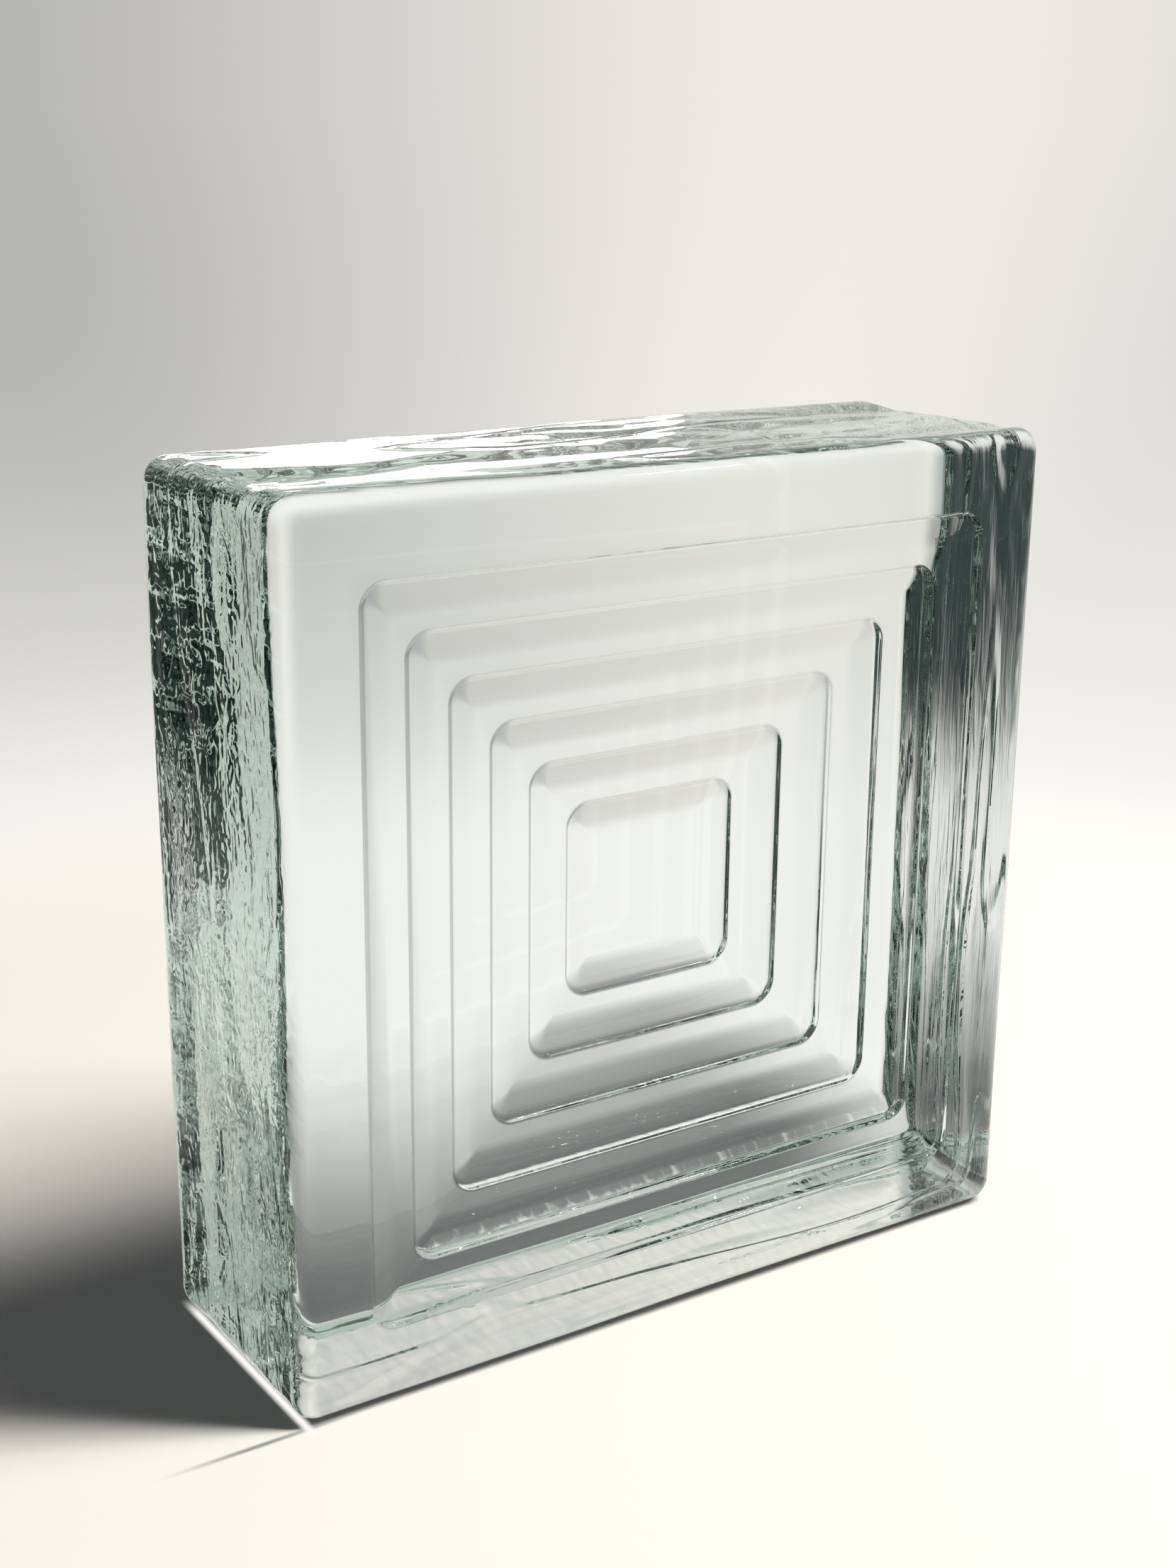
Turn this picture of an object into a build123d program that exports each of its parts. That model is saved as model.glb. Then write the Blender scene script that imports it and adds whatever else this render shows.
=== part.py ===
"""Solid cast glass block with a stepped square recess pressed into its front face.

The block stands on one narrow side, as it does when it is laid in a wall. Its front face looks
along -Y, its height runs along +Z, and the origin is at the middle of the footprint.
All sizes are in millimetres.
"""

import os
from math import radians, tan

from build123d import *

# The block's outer form.
face_width = 200.0  # across the front face, along X
face_height = 200.0  # up the front face, along Z
thickness = 65.0  # from the front face to the back face, along Y
corner_radius = 6.0  # the four long edges that run from front to back
front_edge_radius = 5.0  # rim of the front face, softened by the polishing flame
back_edge_radius = 5.0  # rim of the back face, rounded by the bottom of the mould

# The recess: square steps that get smaller towards the middle, like a stepped pyramid turned inwards.
step_count = 6
border_width = 18.2  # from the block's side to the lip of the first step
centre_size = 46.0  # side of the innermost square, measured at its lip
step_depth = 3.2  # how much deeper each step lies than the one outside it
step_corner_radius = 6.0  # plan corners of each step, measured at its lip

# Each step drops by a short steep riser and then by a gentle slope, with a flat tread inside it.
riser_depth = 1.7  # the steep part of the drop
riser_draft = 38.0  # degrees by which a riser leans open, so that the plunger lets go
slope_width = 6.2  # the gentle part, measured across the front face
slope_corner_radius = 0.6  # the slopes meet in mitred corners, almost sharp
lip_bevel = 0.35  # flat that breaks the edge at the top of a riser, where the flame rounded it
root_radius = 3.0  # hollow between a riser and its slope

front = thickness / 2
middle_height = face_height / 2

# The steps share out what lies between the outermost lip and the innermost one.
outer_width = face_width - 2 * border_width
outer_height = face_height - 2 * border_width
width_change = (outer_width - centre_size) / (step_count - 1)
height_change = (outer_height - centre_size) / (step_count - 1)
riser_run = riser_depth * tan(radians(riser_draft))


def step_plane(depth):
    """The plane that lies this far behind the front face, looking out of it."""
    return Plane.XZ.offset(front - depth)


def rounded_square(depth, width, height, radius):
    """A sketch of one rounded square of the recess, this far behind the front face."""
    with BuildSketch(step_plane(depth)) as square:
        with Locations((0, middle_height)):
            RectangleRounded(width, height, radius)
    return square.sketch.face()


def edges_at(depth):
    """The edges of the block that lie this far behind the front face."""
    return glass_block.edges().filter_by(lambda edge: abs(edge.center().Y + front - depth) < 0.01)


with BuildPart() as glass_block:
    # The blank is one straight block with rounded long edges.
    extrude(rounded_square(thickness, face_width, face_height, corner_radius), amount=thickness)
    fillet(edges_at(0), front_edge_radius)
    fillet(edges_at(thickness), back_edge_radius)

    # Each step is pressed into the tread of the step outside it.
    for step in range(step_count):
        lip_depth = step * step_depth
        root_depth = lip_depth + riser_depth
        width = outer_width - step * width_change
        height = outer_height - step * height_change
        lip = rounded_square(lip_depth, width, height, step_corner_radius)
        extrude(lip, amount=-riser_depth, taper=riser_draft, mode=Mode.SUBTRACT)

        # The lip is broken by a bevel that leans halfway between the tread and the riser.
        rim = rounded_square(
            lip_depth, width + 2 * lip_bevel, height + 2 * lip_bevel, step_corner_radius + lip_bevel
        )
        extrude(rim, amount=-riser_depth / 2, taper=(90 + riser_draft) / 2, mode=Mode.SUBTRACT)

        # The gentle slope runs from the foot of the riser to the next flat tread.
        width -= 2 * riser_run
        height -= 2 * riser_run
        foot = rounded_square(root_depth, width, height, step_corner_radius - riser_run)
        width -= 2 * slope_width
        height -= 2 * slope_width
        flat = rounded_square(lip_depth + step_depth, width, height, slope_corner_radius)
        loft([foot, flat], ruled=True, mode=Mode.SUBTRACT)
        fillet(edges_at(root_depth), root_radius)

glass_block.part.label = "glass_block"
print(glass_block.part.bounding_box())
os.makedirs("parts", exist_ok=True)
export_step(glass_block.part, "parts/glass_block.step")
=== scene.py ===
# %% [markdown]
# A solid glass block that stands on one narrow side. It is one piece of cast glass with six square
# steps pressed into its front face. Clear glass shows almost nothing of itself: what the eye sees is
# the room, bent by the faces, the rounded rims and the wrinkled narrow sides. So the shape has to be
# right to a tenth of a millimetre, and the room around it matters as much as the material.

# %% Load the frame
import math

import bmesh
import bpy
from mathutils import Matrix, Vector, noise


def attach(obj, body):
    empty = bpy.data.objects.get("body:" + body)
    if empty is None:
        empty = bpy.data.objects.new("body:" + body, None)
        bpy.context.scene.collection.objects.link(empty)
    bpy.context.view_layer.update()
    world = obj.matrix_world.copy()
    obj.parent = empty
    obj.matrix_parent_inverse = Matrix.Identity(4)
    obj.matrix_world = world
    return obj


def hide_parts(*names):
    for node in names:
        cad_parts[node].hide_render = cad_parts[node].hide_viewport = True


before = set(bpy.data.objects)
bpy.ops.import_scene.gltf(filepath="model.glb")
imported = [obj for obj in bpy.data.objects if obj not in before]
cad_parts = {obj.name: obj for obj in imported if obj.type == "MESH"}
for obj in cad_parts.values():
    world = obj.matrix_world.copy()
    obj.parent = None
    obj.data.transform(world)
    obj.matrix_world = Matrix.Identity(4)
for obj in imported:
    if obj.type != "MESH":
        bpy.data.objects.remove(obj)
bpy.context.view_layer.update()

# %% [markdown]
# The camera comes first, because every later choice is made for the photograph's view. Its place and
# aim were fitted to the block's corners and to the lines of the steps. A camera looks along its own
# -Z, so its axes are built from the direction it looks in and the direction to its right.

# %% Camera
MM = 0.001
CAMERA_PLACE = Vector((-280.8, -409.6, 270.1)) * MM
LOOKS_ALONG = Vector((0.5328, 0.7952, -0.2893)).normalized()
TO_ITS_RIGHT = Vector((0.8324, -0.5541, 0.0098))
LENS = 51.4
SENSOR = 36.0

camera_data = bpy.data.cameras.new("camera")
camera_data.lens = LENS
camera_data.sensor_width = SENSOR
camera = bpy.data.objects.new("camera", camera_data)
bpy.context.scene.collection.objects.link(camera)
right = (TO_ITS_RIGHT - LOOKS_ALONG * TO_ITS_RIGHT.dot(LOOKS_ALONG)).normalized()
up = right.cross(LOOKS_ALONG)
turn = Matrix((right, up, -LOOKS_ALONG)).transposed().to_4x4()
camera.matrix_world = Matrix.Translation(CAMERA_PLACE) @ turn
bpy.context.scene.camera = camera
bpy.context.scene.view_settings.view_transform = "Standard"
print("camera", round(CAMERA_PLACE.length, 3), "m from the foot of the block")

# %% [markdown]
# The block is built like a basket: one ring of vertices is extruded again and again along the section,
# and each new ring gets the size that the section has there. The ring is a square with rounded corners,
# so the step corners and the block's long edges come out round, and no grid has to be cut. A grid moved
# by a height map was the other way, and it would have left the thin risers ragged.
#
# Each step is a steep riser with a round lip, then a gentle slope, then a flat tread. Glass bends light
# by the slope of its surface, so the riser draws the sharp line and the slope the soft grey band beside
# it. All sizes are the part's, but the risers are 0.4 mm lower, and the lips and the feet of the slopes
# are rounder, which draws the lines as thin as the photograph shows them.

# %% Sizes of the block, in millimetres
WIDTH = 200.0
THICKNESS = 65.0
LONG_EDGE_RADIUS = 6.0
RIM_RADIUS = 5.0
STEPS = 6
BORDER = 18.2  # from the block's side to the outermost lip
CENTRE = 46.0  # side of the innermost square, at its lip
STEP_DEPTH = 3.2
RISER_DEPTH = 1.3
RISER_DRAFT = math.radians(38)
SLOPE_WIDTH = 6.2
STEP_CORNER = 6.0
SLOPE_CORNER = 0.6
LIP_RADIUS = 0.8
ROOT_RADIUS = 3.0
SLOPE_FOOT_RADIUS = 10.0

half_width = WIDTH / 2
half_thickness = THICKNESS / 2
front, back = -half_thickness, half_thickness
outer_lip = half_width - BORDER
lip_spacing = (outer_lip - CENTRE / 2) / (STEPS - 1)
riser_run = RISER_DEPTH * math.tan(RISER_DRAFT)
print("lips", round(lip_spacing, 2), "mm apart, risers", round(riser_run, 2), "mm across")

# %% The section, drawn as corners that are then rounded
BACK_PATCH = 10.0  # half width of the plain patch in the middle of the back face
CENTRE_PATCH = 8.0  # and of the patch in the middle of the innermost square
RIM_STATIONS = 8
LIP_STATIONS = 5
ROOT_STATIONS = 5
FOOT_STATIONS = 4


def section_corners():
    """Each corner's half width and place along Y, its rounding radius and the stations on that."""
    corners = [
        (BACK_PATCH, back, 0, 1),
        (half_width, back, RIM_RADIUS, RIM_STATIONS),
        (half_width, front, RIM_RADIUS, RIM_STATIONS),
    ]
    for step in range(STEPS):
        lip = outer_lip - step * lip_spacing
        y = front + step * STEP_DEPTH
        corners.append((lip, y, LIP_RADIUS, LIP_STATIONS))
        corners.append((lip - riser_run, y + RISER_DEPTH, ROOT_RADIUS, ROOT_STATIONS))
        corners.append((lip - riser_run - SLOPE_WIDTH, y + STEP_DEPTH, SLOPE_FOOT_RADIUS, FOOT_STATIONS))
    corners.append((CENTRE_PATCH, y + STEP_DEPTH, 0, 1))
    return [(Vector(corner[:2]), corner[2], corner[3]) for corner in corners]


def rounded(corners):
    """The stations of a section whose corners are replaced by arcs that touch both of their lines."""
    stations = [corners[0][0]]
    for (before, _, _), (corner, radius, count), (after, _, _) in zip(corners, corners[1:], corners[2:]):
        to_before, to_after = (before - corner).normalized(), (after - corner).normalized()
        half_angle = to_before.angle(to_after) / 2
        reach = radius / math.tan(half_angle)
        middle = corner + (to_before + to_after).normalized() * radius / math.sin(half_angle)
        first, last = corner + to_before * reach - middle, corner + to_after * reach - middle
        for i in range(count):
            stations.append(middle + first.slerp(last, i / (count - 1)).normalized() * radius)
    return stations + [corners[-1][0]]


corner_stations = rounded(section_corners())
print("stations on the corners", len(corner_stations))

# %% The rings: more stations where a run is long, and a corner radius for each
SIDE_RUN, FRONT_RUN, BACK_RUN = 1.6, 3.2, 4.5  # the narrow side carries the waves, so it is cut finest
EDGE_FADE = 0.9  # on the border and the back, the corners get sharper inwards by this much each mm
LEAST_CORNER = 1.0
PLAIN_BORDER = 2.0  # from this far outside the outermost lip, the front face is plain
BEHIND_RECESS = 20.0  # from the front face


def with_cuts(stations):
    """Divides every straight run of the section that is too long."""
    divided = [stations[0]]
    for before, after in zip(stations, stations[1:]):
        longest = BACK_RUN if before.y > 0 else FRONT_RUN
        if min(before.x, after.x) > half_width - 0.01:
            longest = SIDE_RUN
        shares = max(1, math.ceil((after - before).length / longest))
        divided += [before.lerp(after, share / shares) for share in range(1, shares + 1)]
    return divided


def plan_radius(station):
    """The corner radius of the ring at this station, seen from the front."""
    if station.y > front + BEHIND_RECESS or station.x > outer_lip + PLAIN_BORDER:
        return max(LEAST_CORNER, LONG_EDGE_RADIUS - (half_width - station.x) * EDGE_FADE)
    lips = [outer_lip - step * lip_spacing for step in reversed(range(STEPS))]
    lip = next(lip for lip in lips if station.x <= lip + LIP_RADIUS)
    return max(SLOPE_CORNER, STEP_CORNER + station.x - lip)


section = [(station.x, plan_radius(station), station.y) for station in with_cuts(corner_stations)]
print("rings", len(section))

# %% The mesh
SIDE_CUTS = 110
CORNER_POINTS = 9


def stretch(value, old, new):
    """Moves one coordinate from a ring of the old half width and corner radius to one of the new."""
    old_straight, new_straight = old[0] - old[1], new[0] - new[1]
    if abs(value) <= old_straight + 1e-6:
        return value * new_straight / old_straight
    return math.copysign(new_straight + (abs(value) - old_straight) * new[1] / old[1], value)


def first_ring(bm, station):
    """A circle cut in four, whose quarters are pulled apart to the corners and whose sides are then cut."""
    half, corner, y = station
    half_step = math.pi / (4 * CORNER_POINTS)
    upright = Matrix.Rotation(math.pi / 2, 4, "X") @ Matrix.Rotation(half_step, 4, "Z")
    bmesh.ops.create_circle(bm, segments=4 * CORNER_POINTS, radius=corner, matrix=upright)
    for vert in bm.verts:
        vert.co.x += math.copysign(half - corner, vert.co.x)
        vert.co.z += math.copysign(half - corner, vert.co.z)
        vert.co.y = y
    sides = sorted(bm.edges, key=lambda edge: edge.calc_length())[-4:]
    bmesh.ops.subdivide_edges(bm, edges=sides, cuts=SIDE_CUTS)
    return list(bm.edges)


def next_ring(bm, ring, old, new):
    """Extrudes the ring and gives the new one the size and place of its own station."""
    made = bmesh.ops.extrude_edge_only(bm, edges=ring)["geom"]
    verts = {item for item in made if isinstance(item, bmesh.types.BMVert)}
    for vert in verts:
        vert.co = (stretch(vert.co.x, old, new), new[2], stretch(vert.co.z, old, new))
    edges = [item for item in made if isinstance(item, bmesh.types.BMEdge)]
    return [edge for edge in edges if verts.issuperset(edge.verts)]


bm = bmesh.new()
ring = first_ring(bm, section[0])
bmesh.ops.edgeloop_fill(bm, edges=ring)
for old, new in zip(section, section[1:]):
    ring = next_ring(bm, ring, old, new)
bmesh.ops.edgeloop_fill(bm, edges=ring)
bmesh.ops.recalc_face_normals(bm, faces=bm.faces)
print("faces", len(bm.faces), "cubic mm", round(bm.calc_volume()))

# %% [markdown]
# The narrow sides cooled against the mould, and they kept long soft waves, streaks that run round the
# block the way the glass flowed, a few sharp laps where one fold of it met the next, and fine ripples
# in a V on the left and the top. The front and back faces were pressed and polished by a flame, so they
# only roll a little. Each vertex is moved inwards along its own side by a sum of smooth noises that are
# stretched the way the glass flowed, so the block never grows past its size. A lap is the crease that
# the absolute value of a noise makes where the noise crosses zero.

# %% Waves on the narrow sides
WAVES = ((75.0, 38.0, 1.5), (50.0, 12.0, 0.50), (24.0, 6.0, 0.12))  # length, width and height in mm
LAPS = ((110.0, 18.0, 0.55), (60.0, 11.0, 0.20))
CHEVRONS = ((15.0, 45.0, 0.22), (7.0, 30.0, 0.09))
CHEVRON_SLANT = 1.5  # mm along the side for each mm across it
CHEVRON_TIP = -6.0  # where the two slants meet, along Y
CHEVRON_LEAST = 0.25  # what is left of them on the right and at the bottom
MEAN_INSET = 0.5
LAP_FLANK = 2.0
SEED_SHIFT = 7.3
LAP_SEED, CHEVRON_SEED = 5, 11


def stretched_noise(point, length, width, seed):
    """A smooth noise that is long around the block and short across its narrow side."""
    return noise.noise(Vector((point.x / length, point.y / width + SEED_SHIFT * seed, point.z / length)))


def side_inset(point):
    """How far the narrow side stands in from the straight block here, in mm, never below 0."""
    inset = MEAN_INSET
    for seed, (length, width, height) in enumerate(WAVES):
        inset += height * stretched_noise(point, length, width, seed)
    for seed, (length, width, height) in enumerate(LAPS, LAP_SEED):
        inset += height * (0.5 - LAP_FLANK * abs(stretched_noise(point, length, width, seed)))
    slanted = point + Vector((1, 0, 1)) * CHEVRON_SLANT * abs(point.y - CHEVRON_TIP)
    strength = min(1.0, max(CHEVRON_LEAST, max(-point.x, point.z) / half_width))
    for seed, (length, width, height) in enumerate(CHEVRONS, CHEVRON_SEED):
        inset += strength * height * stretched_noise(slanted, length, width, seed)
    return max(0.0, inset)


middle_of_left_side = Vector((-half_width, 0, 0))
print("inset in the middle of the left side", round(side_inset(middle_of_left_side), 2), "mm")

# %% The roll of the faces, and the waves put on
FACE_WAVES = ((60.0, 0.10), (28.0, 0.03))  # length and height in mm
FACE_SET_BACK = 0.13  # keeps the roll inside the block's size
FRONT_SEED, BACK_SEED = 3.0, 9.0
SIDE_STARTS, UPRIGHT_STARTS = 95.5, 94.0  # from the block's middle
SIDE_BLEND = 4.0
RIM_CALM = 9.0  # the waves calm down over this last stretch to the front and back faces
RIM_SHARE = 0.3  # what reaches the rim itself

wrinkled_layer = bm.verts.layers.float.new("wrinkled")
folded_layer = bm.verts.layers.float.new("folded")


def face_roll(point, seed):
    """The gentle roll of the front and back faces."""
    return sum(
        height * noise.noise(Vector((point.x / length, seed, point.z / length)))
        for length, height in FACE_WAVES
    )


def share_past(value, start):
    """0 up to the start and 1 from one blend further on."""
    return min(1.0, max(0.0, (value - start) / SIDE_BLEND))


for vert in bm.verts:
    point = vert.co.copy()
    on_side = share_past(max(abs(point.x), abs(point.z)), SIDE_STARTS)
    on_upright = share_past(abs(point.x), UPRIGHT_STARTS)
    inland = min(1.0, (half_thickness - abs(point.y)) / RIM_CALM)
    vert[folded_layer] = on_side * inland
    vert[wrinkled_layer] = on_side * inland * on_upright
    straight = half_width - LONG_EDGE_RADIUS
    outward = Vector((
        math.copysign(max(0.0, abs(point.x) - straight), point.x), 0,
        math.copysign(max(0.0, abs(point.z) - straight), point.z),
    ))
    if outward.length > 0:
        calm = RIM_SHARE + (1 - RIM_SHARE) * inland
        vert.co -= outward.normalized() * side_inset(point) * on_side * calm
    roll = face_roll(point, FRONT_SEED if point.y < 0 else BACK_SEED)
    inward = 1 if point.y < 0 else -1
    vert.co.y += inward * (1 - on_side) * (FACE_SET_BACK + roll)
print("cubic mm with its waves", round(bm.calc_volume()))

# %% [markdown]
# The finished mesh stands on the floor, in metres, and takes the place of the part's plain solid. Its
# two layers go with it: they tell the material how wrinkled and how folded the surface is here.

# %% The block in its place
for vert in bm.verts:
    vert.co = (vert.co.x * MM, vert.co.y * MM, (vert.co.z + half_width) * MM)
for face in bm.faces:
    face.smooth = True
mesh = bpy.data.meshes.new("cast_block")
bm.to_mesh(mesh)
bm.free()
block = bpy.data.objects.new("cast_block", mesh)
bpy.context.scene.collection.objects.link(block)
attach(block, "root")
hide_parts("glass_block")
print("block", [round(size, 4) for size in block.dimensions], "m")

# %% [markdown]
# Colours are written as hex, as a designer reads them from a swatch. Blender's shaders count light,
# so one function turns each value to linear. A second one adds a node with all that it needs. The
# others build what the materials below share: a soft change from 0 to 1, which may be measured along
# a direction, so that a finish can start and end at a place on the object, and the product of shares.

# %% Colours, nodes and shares
def linear(code):
    """The linear RGBA of an sRGB hex colour."""
    channels = [int(code[i : i + 2], 16) / 255 for i in (1, 3, 5)]
    return [c / 12.92 if c <= 0.04045 else ((c + 0.055) / 1.055) ** 2.4 for c in channels] + [1.0]


def add_node(tree, kind, inputs=None, **settings):
    """Adds a shader node. Each input gets a hex colour, a number or the output of another node."""
    node = tree.nodes.new(kind)
    for name, value in settings.items():
        setattr(node, name, value)
    for name, value in (inputs or {}).items():
        if isinstance(value, bpy.types.NodeSocket):
            tree.links.new(value, node.inputs[name])
        else:
            node.inputs[name].default_value = linear(value) if isinstance(value, str) else value
    return node


def soft_change(tree, value, low, high, direction=None):
    """0 at low and 1 at high, where the value may be a place that is measured along a direction."""
    if direction:
        measured = {0: value, 1: direction}
        value = add_node(tree, "ShaderNodeVectorMath", measured, operation="DOT_PRODUCT").outputs["Value"]
    limits = {"Value": value, "From Min": low, "From Max": high}
    return add_node(tree, "ShaderNodeMapRange", limits, interpolation_type="SMOOTHSTEP").outputs[0]


def all_of(tree, share, *others):
    """The product of shares: 1 only where every one of them is 1."""
    for other in others:
        share = add_node(tree, "ShaderNodeMath", {0: share, 1: other}, operation="MULTIPLY").outputs[0]
    return share


LEFT, RIGHT, FORWARD, BACKWARD, UP = (-1, 0, 0), (1, 0, 0), (0, -1, 0), (0, 1, 0), (0, 0, 1)
print("linear value of a middle grey", round(linear("#808080")[0], 3))

# %% [markdown]
# Soda lime glass. It is clear, with a faint green from the iron in its sand, and the green only shows
# where light has gone a long way through. So the surface stays colourless and a volume takes a little
# red and a little less blue from each centimetre. Light is mirrored many times between the faces before
# it finds a way out, so it's followed further than Blender does by itself: with its own limits, the
# longest ways through the block end black.

# %% Glass
ALL_BOUNCES = 20
MIRRORED_BOUNCES = 7
bpy.context.scene.cycles.max_bounces = ALL_BOUNCES
bpy.context.scene.cycles.glossy_bounces = MIRRORED_BOUNCES
bpy.context.scene.cycles.transmission_bounces = ALL_BOUNCES

glass = bpy.data.materials.new("soda_lime_glass")
glass.use_nodes = True
tree = glass.node_tree
tree.nodes.clear()
place = add_node(tree, "ShaderNodeTexCoord").outputs["Object"]
wrinkled = add_node(tree, "ShaderNodeAttribute", attribute_name="wrinkled").outputs["Fac"]
folded = add_node(tree, "ShaderNodeAttribute", attribute_name="folded").outputs["Fac"]
print("light is followed", ALL_BOUNCES, "times, of which", MIRRORED_BOUNCES, "mirrored")

# %% [markdown]
# The finest relief of the narrow sides is only a bump. The upright sides have scales that run round the
# block, and the left one also has the chatter marks of the mould. Small teeth stand across the flow, and
# long thin furrows run where a stretched noise crosses its middle: a narrower noise alone gave sand, not
# furrows. Teeth on the top or the right side would blur what is seen through them, so they stop there.

# %% Relief on the narrow sides
SCALES = (16.0, 1.8, 1.0, 0.6)  # length and width in mm, detail, distortion
CHATTER = (5.0, 3.5, 0.0, 1.5)
TEETH = (2.6, 14.0, 0.0, 0.3)
FURROWS = (95.0, 24.0, 0.0, 0.4)
CHATTER_HEIGHT = 1.6  # all heights are next to the scales' own
TEETH_HEIGHT = 1.3
FURROW_HEIGHT = 3.0
FURROW_WIDTH = 0.05  # how far from its middle the noise still makes a furrow


def cells(length, width, detail, distortion):
    """Noise whose cells are this long around the block and this wide across its narrow side."""
    scale = (1 / (length * MM), 1 / (width * MM), 1 / (length * MM))
    stretched = add_node(tree, "ShaderNodeMapping", {"Vector": place, "Scale": scale}).outputs[0]
    looks = {"Vector": stretched, "Scale": 1.0, "Detail": detail, "Distortion": distortion}
    return add_node(tree, "ShaderNodeTexNoise", looks).outputs[0]


left_side = soft_change(tree, place, 0.05, 0.09, LEFT)
chatter = all_of(tree, cells(*CHATTER), CHATTER_HEIGHT, left_side)
scales = add_node(tree, "ShaderNodeMath", {0: cells(*SCALES), 1: chatter}, operation="ADD").outputs[0]

not_on_top = soft_change(tree, place, 0.198, 0.190, UP)
not_at_right = soft_change(tree, place, 0.098, 0.090, RIGHT)
teeth = all_of(tree, cells(*TEETH), TEETH_HEIGHT, not_on_top, not_at_right)

offset = add_node(tree, "ShaderNodeMath", {0: cells(*FURROWS), 1: 0.5}, operation="SUBTRACT").outputs[0]
away = add_node(tree, "ShaderNodeMath", {0: offset}, operation="ABSOLUTE").outputs[0]
not_at_left = soft_change(tree, place, 0.110, 0.085, LEFT)
furrows = all_of(tree, soft_change(tree, away, 0.0, FURROW_WIDTH), FURROW_HEIGHT, not_at_left)
lines = add_node(tree, "ShaderNodeMath", {0: teeth, 1: furrows}, operation="ADD").outputs[0]
print("nodes of the relief", len(tree.nodes))

# %% Surface and depth of the glass
IOR = 1.52
RELIEF_HEIGHT = 0.12
TINT = (0.20, 0.82, 0.50, 1)  # the lower a colour is here, the more of it each metre of glass takes

parts_of_relief = {0: all_of(tree, scales, wrinkled), 1: all_of(tree, lines, folded)}
relief = add_node(tree, "ShaderNodeMath", parts_of_relief, operation="ADD").outputs[0]
bump = add_node(
    tree, "ShaderNodeBump", {"Height": relief, "Strength": 1.0, "Distance": RELIEF_HEIGHT * MM}
).outputs[0]
shader = add_node(tree, "ShaderNodeBsdfPrincipled", {
    "Normal": bump, "Base Color": "#ffffff", "Roughness": 0.0, "IOR": IOR, "Transmission Weight": 1.0,
})
depth_tint = add_node(tree, "ShaderNodeVolumeAbsorption", {"Color": TINT, "Density": 1.0})
add_node(
    tree, "ShaderNodeOutputMaterial", {"Surface": shader.outputs[0], "Volume": depth_tint.outputs[0]}
)
mesh.materials.append(glass)
print("glass with an IOR of", IOR)

# %% [markdown]
# Glass photographs badly in an even white room: its edges vanish. A photographer keeps the backdrop
# pale and stands dark cards to the left and in front, out of the picture, so that every edge that
# turns the eye aside finds a dark card. Here the backdrop is seen straight through the glass, and the
# cards are painted reflections: only light that has been mirrored at least once, outside or inside
# the block, finds them.

# %% Colours of the room
BACKDROP_LEFT = "#b1b1af"
BACKDROP_MIDDLE = "#f1ede6"
BACKDROP_RIGHT = "#dddbd6"
PAPER_WHITE = "#fffdf9"
CARD_REFLECTION = "#0f1b1a"
CEILING = "#c4c9c4"
LEFT_OF_THE_BLOCK = (-0.83, 0.55, 0.0)
TOWARDS_PAPER = (0.50, 0.866, 0.0)
CARD_SHIFT = 0.30  # the cards reach further round for light that never entered the glass


def came_by(tree, depth):
    """1 for light that met a surface of this kind on its way here, and 0 for all other light."""
    path = add_node(tree, "ShaderNodeLightPath").outputs[depth]
    return add_node(tree, "ShaderNodeMath", {0: path, 1: 1.0}, operation="MINIMUM").outputs[0]


def painted(tree, colour, *coats):
    """A colour with others painted over it, each of them with the share in which it covers."""
    for coat, share in coats:
        mixed = {"Factor": share, 6: colour, 7: coat}
        colour = add_node(tree, "ShaderNodeMix", mixed, data_type="RGBA").outputs[2]
    return colour


def room(tree, unit, height_share):
    """The backdrop, and the dark cards as painted reflections that only mirrored light finds, in the
    direction of a unit vector from the block.
    """
    far = painted(
        tree, BACKDROP_RIGHT,
        (BACKDROP_MIDDLE, soft_change(tree, unit, -0.35, -0.10, LEFT_OF_THE_BLOCK)),
        (BACKDROP_LEFT, soft_change(tree, unit, -0.15, 0.32, LEFT_OF_THE_BLOCK)),
    )
    backdrop = painted(tree, PAPER_WHITE, (far, height_share))
    shift = {0: came_by(tree, "Transmission Depth"), 1: CARD_SHIFT, 2: -CARD_SHIFT}
    shift = add_node(tree, "ShaderNodeMath", shift, operation="MULTIPLY_ADD").outputs[0]
    towards = {0: unit, 1: TOWARDS_PAPER}
    towards = add_node(tree, "ShaderNodeVectorMath", towards, operation="DOT_PRODUCT").outputs["Value"]
    towards = add_node(tree, "ShaderNodeMath", {0: towards, 1: shift}, operation="ADD").outputs[0]
    # painted reflection: the dark cards show only where light has been mirrored
    card_reflections = painted(tree, CARD_REFLECTION, (backdrop, soft_change(tree, towards, 0.0, 0.85)))
    return painted(tree, backdrop, (card_reflections, came_by(tree, "Glossy Depth")))


print("the cards' linear value", round(linear(CARD_REFLECTION)[1], 4))

# %% [markdown]
# The paper is one sheet that runs on as the backdrop. Near the block it is lit by the real lamps and
# catches the real shadow. Further away it fades into the room's own colours, so that no horizon shows.

# %% The sheet of paper
FLOOR_HALF = 30.0
floor_bm = bmesh.new()
bmesh.ops.create_grid(floor_bm, x_segments=1, y_segments=1, size=FLOOR_HALF)
floor_mesh = bpy.data.meshes.new("floor")
floor_bm.to_mesh(floor_mesh)
floor_bm.free()
floor = bpy.data.objects.new("floor", floor_mesh)
bpy.context.scene.collection.objects.link(floor)
print("floor", 2 * FLOOR_HALF, "m wide")

# %% The paper, near and far
PAPER = "#faf9f6"
FAR_STARTS, FAR_FULL = 0.22, 0.5  # metres from the block's middle

paper = bpy.data.materials.new("matt_paper")
paper.use_nodes = True
tree = paper.node_tree
tree.nodes.clear()
place = add_node(tree, "ShaderNodeTexCoord").outputs["Object"]
mirrored = came_by(tree, "Glossy Depth")
through_glass = came_by(tree, "Transmission Depth")

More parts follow.
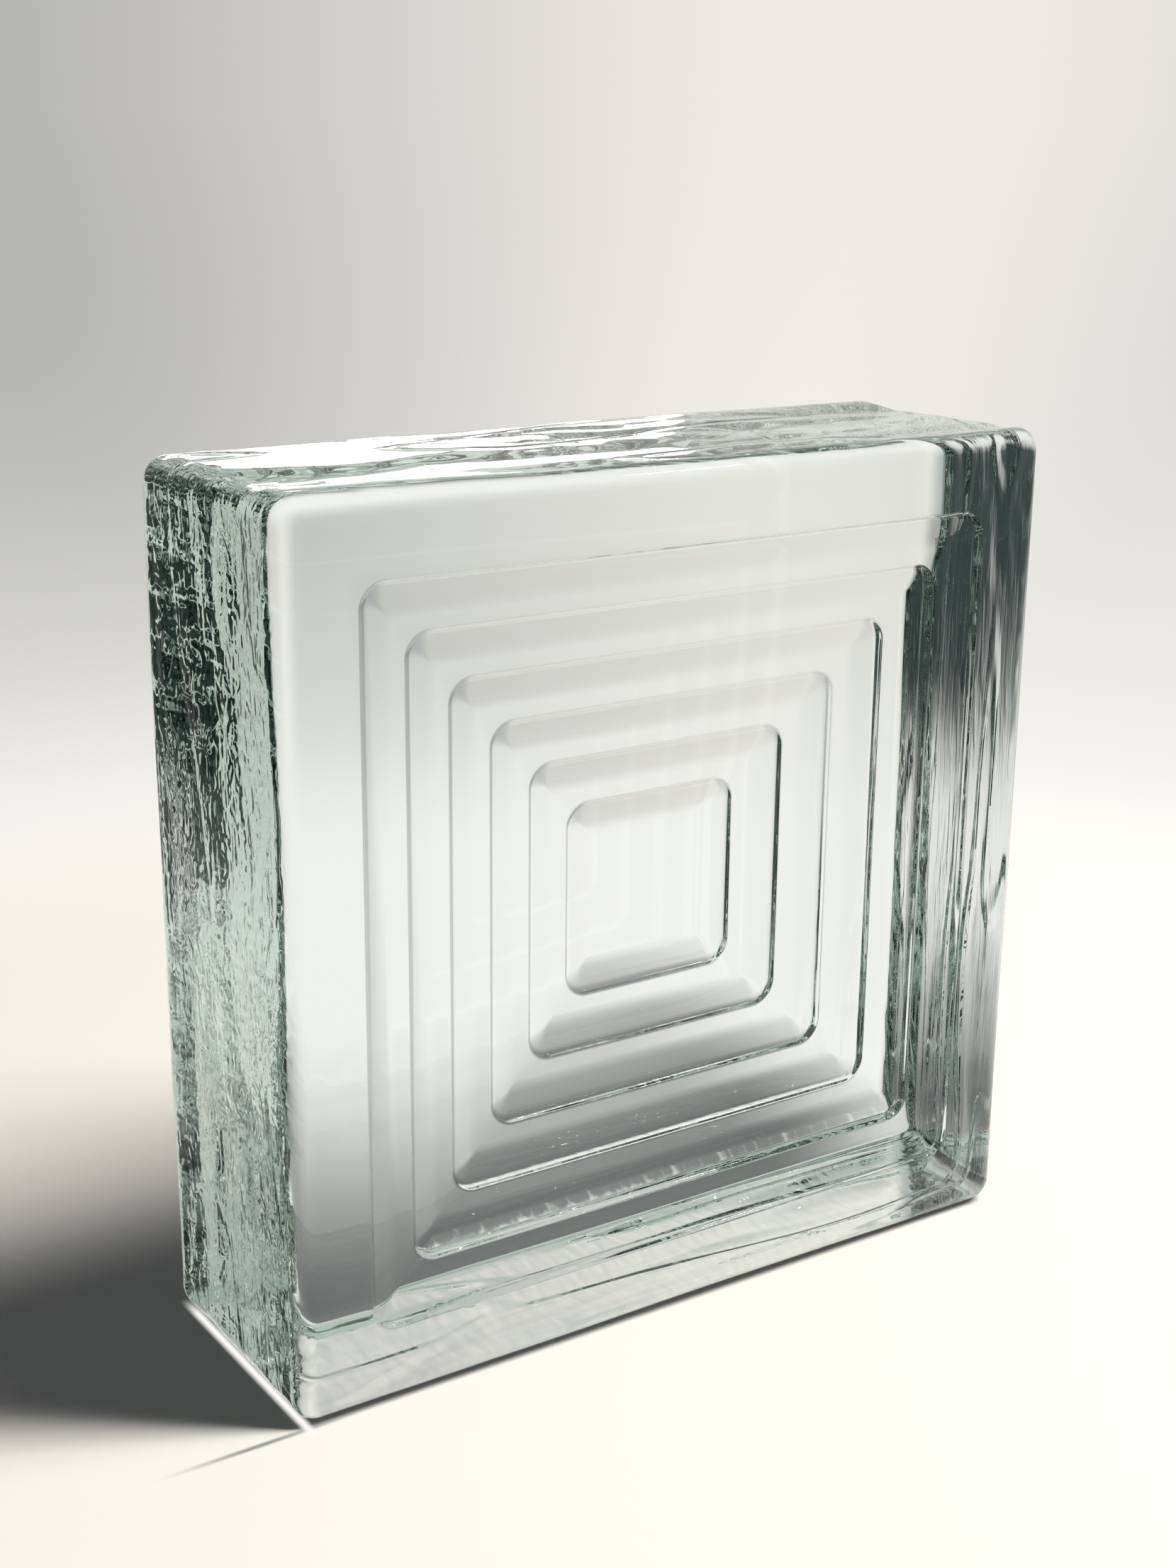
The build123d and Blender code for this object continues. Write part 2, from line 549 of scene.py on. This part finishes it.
distance = add_node(tree, "ShaderNodeVectorMath", {0: place}, operation="LENGTH").outputs["Value"]
closeness = add_node(tree, "ShaderNodeMath", {0: 1.0, 1: distance}, operation="DIVIDE").outputs[0]
unit = add_node(tree, "ShaderNodeVectorMath", {0: place}, operation="NORMALIZE").outputs[0]


def any_of(tree, *shares):
    """1 where at least one of the shares is 1, with every soft change kept."""
    rests = [
        add_node(tree, "ShaderNodeMath", {0: 1.0, 1: share}, operation="SUBTRACT").outputs[0]
        for share in shares
    ]
    rest = all_of(tree, *rests)
    return add_node(tree, "ShaderNodeMath", {0: 1.0, 1: rest}, operation="SUBTRACT").outputs[0]


near = add_node(tree, "ShaderNodeBsdfDiffuse", {"Color": PAPER}).outputs[0]
# Painted dark reflection: light that was mirrored in the block finds the paper in front of it as dark as
# the cards.
painted_dark_reflection = all_of(tree, soft_change(tree, place, 0.05, 0.10, FORWARD), mirrored)
far = painted(tree, room(tree, unit, soft_change(tree, closeness, 3.2, 0.0)), (CARD_REFLECTION, painted_dark_reflection))
far = add_node(tree, "ShaderNodeEmission", {"Color": far}).outputs[0]
far_share = any_of(tree, soft_change(tree, distance, FAR_STARTS, FAR_FULL), painted_dark_reflection)
print("the paper is plain up to", FAR_STARTS, "m and the room's own from", FAR_FULL, "m")

# %% [markdown]
# A glass block throws a soft shadow and gathers light beside it. Blender's path tracer darkens what lies
# under and behind glass far too much, so for light that came through the block the floor has a painted
# shadow and painted light instead: the painted shadow fades away behind the block and to its right, and
# the paper under and in front of the block is painted lit. Further left and back the paper has painted
# shade, darker still for light that was also mirrored in the block. All of this is bound to places on
# the floor, so it stays there in other views.

# %% The painted shadow and painted shade through the glass
GLASS_SHADOW = "#5c6060"
PAINTED_SHADE = "#3a4444"
LEFT_AND_BACK = (-1, 0.235, 0)
SEEN_DIRECTLY = ((0.05, 0.0), (0.10, 0.42))  # metres to the left and back, and how dark it is there
SEEN_MIRRORED = ((-0.05, 0.22), (0.08, 0.05), (0.25, 0.12), (0.42, 0.52), (0.60, 0.92))


def ramp(tree, value, stops):
    """A value that runs through the given stops, as pairs of the input and the share there."""
    low, high = stops[0][0], stops[-1][0]
    within = add_node(tree, "ShaderNodeMapRange", {"Value": value, "From Min": low, "From Max": high})
    node = add_node(tree, "ShaderNodeValToRGB", {"Fac": within.outputs[0]})
    elements = node.color_ramp.elements
    while len(elements) < len(stops):
        elements.new(0.5)
    for element, (at, share) in zip(elements, stops):
        element.position = (at - low) / (high - low)
        element.color = (share, share, share, 1)
    return node.outputs[0]


# Painted shadow and painted light on the paper, for light that came through the block
behind = soft_change(tree, place, 0.010, 0.190, BACKWARD)
right_of = soft_change(tree, place, 0.060, 0.130, RIGHT)
beneath = all_of(
    tree, soft_change(tree, place, 0.040, 0.028, BACKWARD), soft_change(tree, place, -0.115, -0.100, RIGHT)
)
shadow = painted(tree, GLASS_SHADOW, (PAPER_WHITE, any_of(tree, behind, right_of, beneath)))
shadow = add_node(tree, "ShaderNodeEmission", {"Color": shadow}).outputs[0]

# Painted shade, darker to the left and back, and darker still for mirrored light
sideways = {0: place, 1: LEFT_AND_BACK}
sideways = add_node(tree, "ShaderNodeVectorMath", sideways, operation="DOT_PRODUCT").outputs["Value"]
painted_shade_share = {
    "Factor": mirrored, 2: ramp(tree, sideways, SEEN_DIRECTLY), 3: ramp(tree, sideways, SEEN_MIRRORED),
}
painted_shade_share = all_of(tree, through_glass, add_node(tree, "ShaderNodeMix", painted_shade_share).outputs[0])
painted_shade = add_node(tree, "ShaderNodeEmission", {"Color": PAINTED_SHADE}).outputs[0]
print("shadow", GLASS_SHADOW, "dark room", PAINTED_SHADE)

# %% [markdown]
# The rims work as lenses and draw thin bright lines on the paper, and a thin dark line runs out from the
# front corner. A path tracer finds such lines only with far more rays, so they are painted on the paper
# as painted light and a painted dark line: light beside the left foot, and light under the back rim that
# is seen through the glass, where the small teeth of the bottom make it ragged.

# %% Painted light lines and a painted dark line at the foot
EDGE_SHADOW = "#8d9592"
RAGGED_BY = 0.006
RAGGED_SCALE = 420.0


def band(tree, value, middle, reach, direction=None):
    """1 in the middle and 0 from this far on either side of it."""
    return all_of(
        tree, soft_change(tree, value, middle - reach, middle, direction),
        soft_change(tree, value, middle + reach, middle, direction),
    )


# Painted light: thin bright lines beside the left foot and under the back rim
beside = all_of(
    tree, band(tree, place, -0.0972, 0.0018, RIGHT),
    soft_change(tree, place, 0.034, 0.024, BACKWARD), soft_change(tree, place, -0.037, -0.031, BACKWARD),
)
backward = {0: place, 1: BACKWARD}
backward = add_node(tree, "ShaderNodeVectorMath", backward, operation="DOT_PRODUCT").outputs["Value"]
ripple = {"Vector": place, "Scale": RAGGED_SCALE, "Detail": 1.0}
ripple = add_node(tree, "ShaderNodeTexNoise", ripple).outputs[0]
ragged = {0: ripple, 1: RAGGED_BY, 2: backward}
ragged = add_node(tree, "ShaderNodeMath", ragged, operation="MULTIPLY_ADD").outputs[0]
under_rim = all_of(tree, band(tree, ragged, 0.0372, 0.0036), through_glass)
# Painted shade: a thin dark line on the paper, running out from the front corner
ahead = all_of(
    tree, band(tree, place, -0.0312, 0.0012, BACKWARD), band(tree, place, -0.108, 0.026, RIGHT)
)
gathered_light = add_node(tree, "ShaderNodeEmission", {"Color": PAPER_WHITE}).outputs[0]
edge_shadow = add_node(tree, "ShaderNodeEmission", {"Color": EDGE_SHADOW}).outputs[0]


def covered(tree, shader, *covers):
    """A shader with others laid over it, each of them with the share in which it covers."""
    for cover, share in covers:
        shader = add_node(tree, "ShaderNodeMixShader", {0: share, 1: shader, 2: cover}).outputs[0]
    return shader


surface = covered(
    tree, near, (shadow, through_glass), (far, far_share), (painted_shade, painted_shade_share), (edge_shadow, ahead),
    (gathered_light, any_of(tree, beside, under_rim)),
)
add_node(tree, "ShaderNodeOutputMaterial", {"Surface": surface})
floor_mesh.materials.append(paper)
print("nodes of the paper", len(tree.nodes))

# %% [markdown]
# The world is the same room above the paper, with a greyer ceiling. What the eye looks at, straight or
# through glass, has the room's full colours. The matt paper gathers only a weak light from it, so that
# the lamps make the shadow.

# %% World
SKY_LIGHT = "#e6ecf0"
SKY_STRENGTH = 0.06

world = bpy.data.worlds.new("studio")
bpy.context.scene.world = world
world.use_nodes = True
tree = world.node_tree
tree.nodes.clear()
place = add_node(tree, "ShaderNodeTexCoord").outputs["Generated"]
walls = room(tree, place, soft_change(tree, place, -1.0, -0.5, UP))
sky = painted(tree, walls, (CEILING, soft_change(tree, place, 0.35, 0.95, UP)))
seen = add_node(tree, "ShaderNodeBackground", {"Color": sky}).outputs[0]
lighting = {"Color": SKY_LIGHT, "Strength": SKY_STRENGTH}
lighting = add_node(tree, "ShaderNodeBackground", lighting).outputs[0]
surface = covered(tree, seen, (lighting, came_by(tree, "Diffuse Depth")))
add_node(tree, "ShaderNodeOutputWorld", {"Surface": surface})
print("world lights matt surfaces at", SKY_STRENGTH)

# %% [markdown]
# Three lamps. The key is a tall narrow soft box at the front right, so the shadow falls to the back left
# with one sharp side. It's hidden from mirrored light and from light through glass, because the photograph
# shows no white window in the block. The glint gives the few sharp sparks, and the sheen is a low panel
# behind the block that only mirrored light finds: it draws the white streaks on the top.

# %% Lamps
KEY_FROM = Vector((0.4515, -0.3046, 0.8387)) * 2.4
GLINT_FROM = Vector((0.546, -0.394, 0.740)) * 2.4
SHEEN_FROM = Vector((0.40, 0.89, 0.19)) * 2.5
FOOT = (0, 0, 0.05)
TOP = (0, 0, 0.2)


def area_lamp(name, place, aim, width, height, power, colour):
    """A soft box at a place, turned towards its aim."""
    data = bpy.data.lights.new(name, "AREA")
    data.shape = "RECTANGLE"
    data.size = width
    data.size_y = height
    data.energy = power
    data.color = linear(colour)[:3]
    lamp = bpy.data.objects.new(name, data)
    bpy.context.scene.collection.objects.link(lamp)
    facing = (Vector(aim) - Vector(place)).to_track_quat("-Z", "Y")
    lamp.matrix_world = Matrix.Translation(place) @ facing.to_matrix().to_4x4()
    print(name, width, "by", height, "m,", power, "W")
    return lamp


soft_box = area_lamp("key_soft_box", KEY_FROM, FOOT, 0.45, 1.7, 74.0, "#fffaf2")
soft_box.visible_glossy = False
soft_box.visible_transmission = False
area_lamp("glint", GLINT_FROM, FOOT, 0.06, 0.16, 0.6, "#ffffff")
sheen = area_lamp("sheen_panel", SHEEN_FROM, TOP, 1.05, 0.34, 2.4, "#ffffff")
sheen.visible_camera = False
sheen.visible_diffuse = False
sheen.visible_transmission = False
